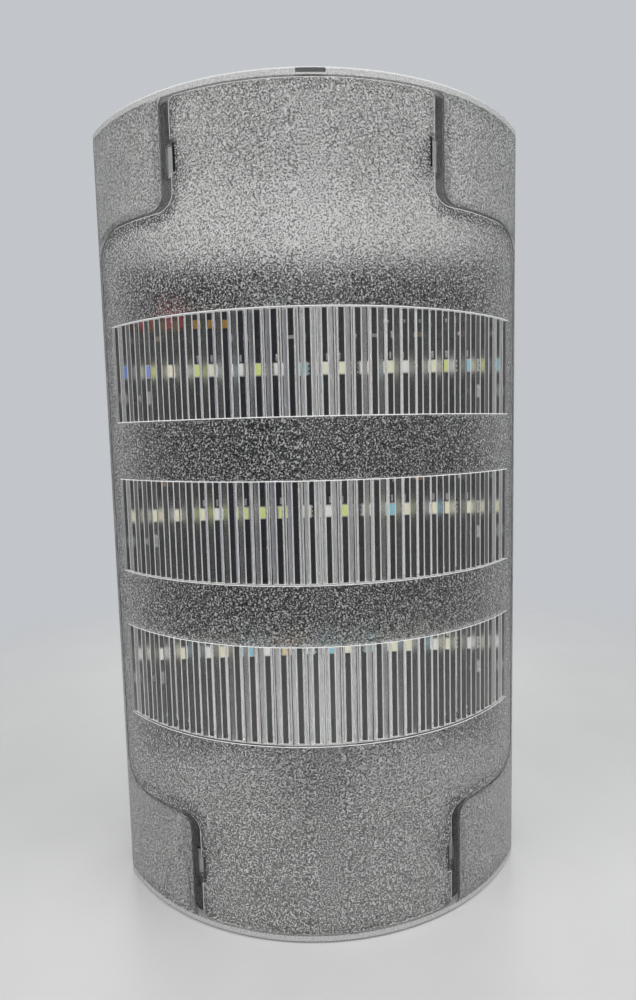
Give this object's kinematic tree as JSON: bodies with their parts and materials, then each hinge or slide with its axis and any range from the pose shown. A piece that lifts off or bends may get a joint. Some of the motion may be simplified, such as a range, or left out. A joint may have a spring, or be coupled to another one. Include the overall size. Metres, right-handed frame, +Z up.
{
  "type": "stack light",
  "caption": "Half-round wall signal light: frosted clear housing, pull-off curved cover with ribbed windows, stacked light boards and wire terminals inside.",
  "frame": {"origin": "middle of the flat bottom end, halfway between the front's foremost line and the back face", "axes": "+Z up along the light, -Y out of the curved front, +Y towards the wall, +X to the viewer's right"},
  "size_m": [0.144, 0.08, 0.26],
  "materials": {
    "frosted_clear": "clear polycarbonate with a fine frosted outer face",
    "clear_cover": "clear polycarbonate, finely frosted, with polished ribbed windows",
    "black_plastic": "black, matt",
    "board": "black solder mask",
    "led": "white package with a pale yellow light window",
    "small_parts": "mixed small board parts",
    "red_plastic": "red moulded case",
    "yellow_plastic": "yellow and orange resin",
    "can_metal": "bright drawn can",
    "chip": "black moulded package",
    "bright_steel": "zinc-plated steel",
    "grey_plastic": "light grey, matt",
    "white_plastic": "white, matt",
    "black_rubber": "black rubber"
  },
  "bodies": {
    "base": {"rear_housing": "frosted_clear", "board_carrier": "black_plastic", "led_board_top": "board", "led_board_middle": "board", "led_board_bottom": "board", "leds_top": "led", "leds_middle": "led", "leds_bottom": "led", "driver_parts_top": "small_parts", "driver_parts_middle": "small_parts", "driver_parts_bottom": "small_parts", "board_links": "black_plastic", "film_capacitor": "red_plastic", "tantalum_capacitors": "yellow_plastic", "electrolytic_capacitors": "can_metal", "control_chips": "chip", "control_resistors": "small_parts", "board_screws": "bright_steel", "terminal_board": "board", "terminal_block": "grey_plastic", "cable_grommet": "black_rubber"},
    "cover": {"front_cover": "clear_cover"},
    "button_1": {"terminal_button_1": "white_plastic"},
    "button_2": {"terminal_button_2": "white_plastic"},
    "button_3": {"terminal_button_3": "white_plastic"},
    "button_4": {"terminal_button_4": "white_plastic"},
    "button_5": {"terminal_button_5": "white_plastic"}
  },
  "joints": [
    {"name": "cover_pull", "type": "slide", "parent": "base", "child": "cover", "axis": [0, -1, 0], "range_m": [0, 0.09]},
    {"name": "button_1_press", "type": "slide", "parent": "base", "child": "button_1", "axis": [0, 1, 0], "range_m": [0, 0.0015], "stiffness_N_per_m": 1500, "springref_m": -0.001},
    {"name": "button_2_press", "type": "slide", "parent": "base", "child": "button_2", "axis": [0, 1, 0], "range_m": [0, 0.0015], "stiffness_N_per_m": 1500, "springref_m": -0.001},
    {"name": "button_3_press", "type": "slide", "parent": "base", "child": "button_3", "axis": [0, 1, 0], "range_m": [0, 0.0015], "stiffness_N_per_m": 1500, "springref_m": -0.001},
    {"name": "button_4_press", "type": "slide", "parent": "base", "child": "button_4", "axis": [0, 1, 0], "range_m": [0, 0.0015], "stiffness_N_per_m": 1500, "springref_m": -0.001},
    {"name": "button_5_press", "type": "slide", "parent": "base", "child": "button_5", "axis": [0, 1, 0], "range_m": [0, 0.0015], "stiffness_N_per_m": 1500, "springref_m": -0.001}
  ]
}
